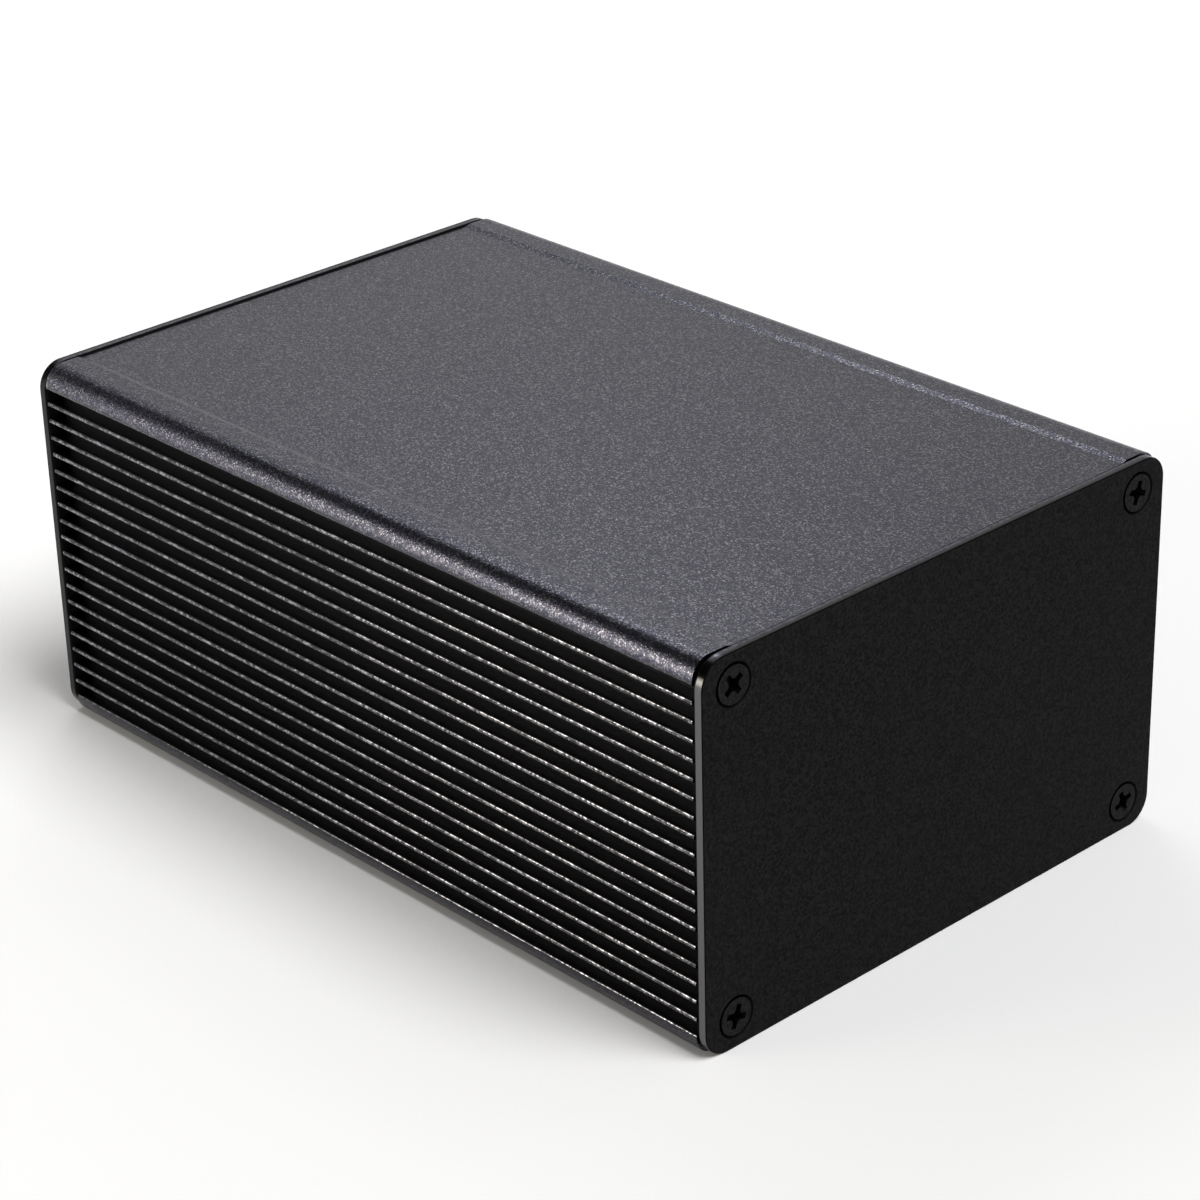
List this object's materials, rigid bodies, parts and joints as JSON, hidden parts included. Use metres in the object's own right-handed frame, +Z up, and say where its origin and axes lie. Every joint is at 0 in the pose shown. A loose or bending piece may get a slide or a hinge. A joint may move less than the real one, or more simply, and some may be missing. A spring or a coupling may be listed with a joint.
{
  "type": "project box",
  "caption": "Black extruded aluminium project box: half shells with ribbed sides and inner board slots, closed by flat end panels held with countersunk screws.",
  "frame": {"origin": "middle of the underside of the lower shell, midway between the end panels", "axes": "+X along the length towards the front panel, +Y across the width, +Z up"},
  "size_m": [0.1026, 0.066, 0.0425],
  "materials": {
    "shell": "black anodised over fine sand-blasting, satin with a fine sparkle",
    "panel": "black anodised, finely blasted, matt",
    "screw": "blackened steel"
  },
  "bodies": {
    "root": {"upper_shell": "shell", "lower_shell": "shell", "front_panel": "panel", "rear_panel": "panel", "front_screw_upper_left": "screw", "front_screw_upper_right": "screw", "front_screw_lower_left": "screw", "front_screw_lower_right": "screw", "rear_screw_upper_left": "screw", "rear_screw_upper_right": "screw", "rear_screw_lower_left": "screw", "rear_screw_lower_right": "screw"}
  },
  "joints": []
}
